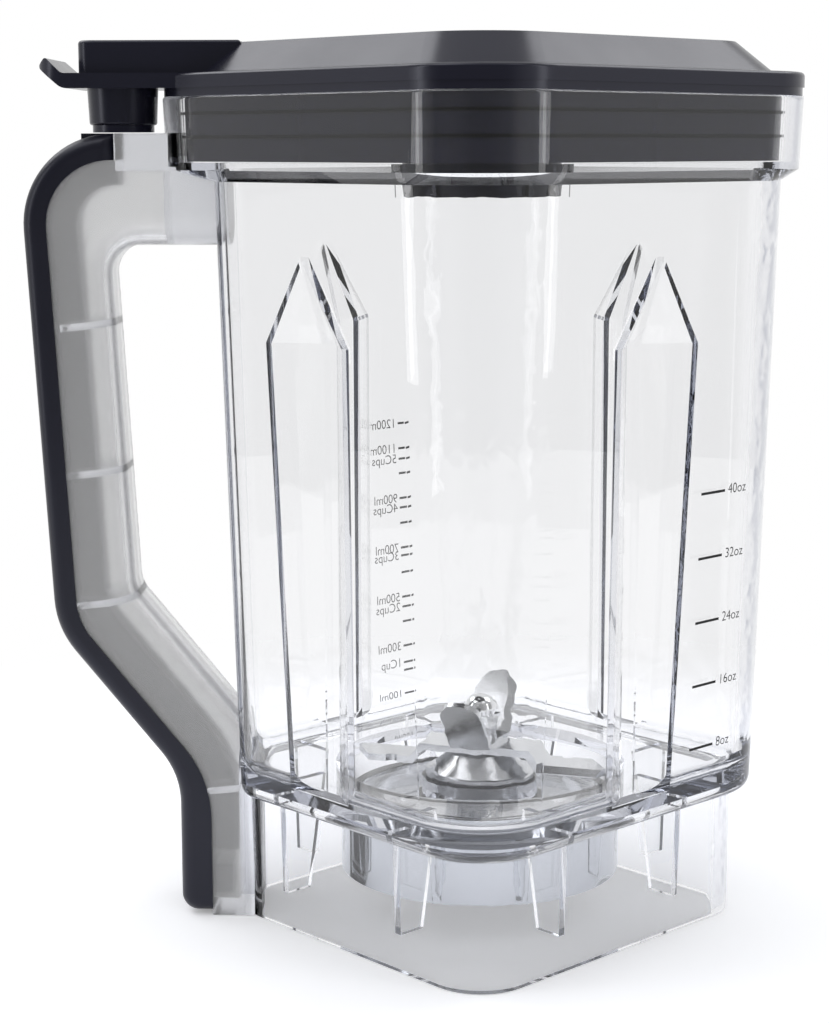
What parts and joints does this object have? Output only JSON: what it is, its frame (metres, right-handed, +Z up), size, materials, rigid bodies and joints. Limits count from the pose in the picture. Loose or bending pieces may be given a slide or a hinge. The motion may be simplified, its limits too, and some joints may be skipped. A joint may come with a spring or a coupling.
{
  "type": "blender jar",
  "caption": "Clear square blender jar with a handle on one corner, spinning stacked blades over a splined drive, and a lift-off black lid with filler cap.",
  "frame": {"origin": "on the blade's axis, in the plane that the skirt's bottom rim stands on", "axes": "+Z up along the blade's axis, -X towards the handle, the square section's corners on X and Y"},
  "size_m": [0.2168, 0.1786, 0.2512],
  "materials": {
    "clear_plastic": "gloss",
    "smoky_plastic": "gloss",
    "black_grip": "satin",
    "black_lid": "satin",
    "black_rubber": "matte",
    "magnet_steel": "satin",
    "bright_ring": "polished",
    "polished_steel": "satin",
    "bearing_steel": "satin",
    "blade_steel": "polished"
  },
  "bodies": {
    "jar": {"jar_body": "clear_plastic", "handle_cover": "black_grip", "handle_magnet": "magnet_steel", "base_ring": "bright_ring", "bearing_housing": "polished_steel", "housing_gasket": "black_rubber", "floor_washer": "polished_steel", "retaining_nut": "polished_steel", "upper_bearing_outer": "bearing_steel", "lower_bearing_outer": "bearing_steel", "shaft_seal": "black_rubber", "bearing_circlip": "bearing_steel"},
    "blade": {"shaft": "polished_steel", "upper_bearing_inner": "bearing_steel", "lower_bearing_inner": "bearing_steel", "bearing_spacer": "bearing_steel", "drive_spline": "bearing_steel", "lower_blade": "blade_steel", "upper_blade": "blade_steel", "blade_collar": "polished_steel", "lock_washer": "polished_steel", "dome_nut": "bright_ring"},
    "lid": {"lid": "black_lid", "lid_gasket": "black_rubber", "lug_foot": "black_rubber"},
    "cap": {"filler_cap": "smoky_plastic", "cap_seal": "black_rubber"}
  },
  "joints": [
    {"name": "blade_spin", "type": "hinge", "parent": "jar", "child": "blade", "pos_m": [0, 0, 0.035], "axis": [0, 0, 1], "continuous": true},
    {"name": "lid_lift", "type": "slide", "parent": "jar", "child": "lid", "axis": [0, 0, 1], "range_m": [0, 0.06]},
    {"name": "cap_lift", "type": "slide", "parent": "lid", "child": "cap", "axis": [0, 0, 1], "range_m": [0, 0.055]}
  ]
}
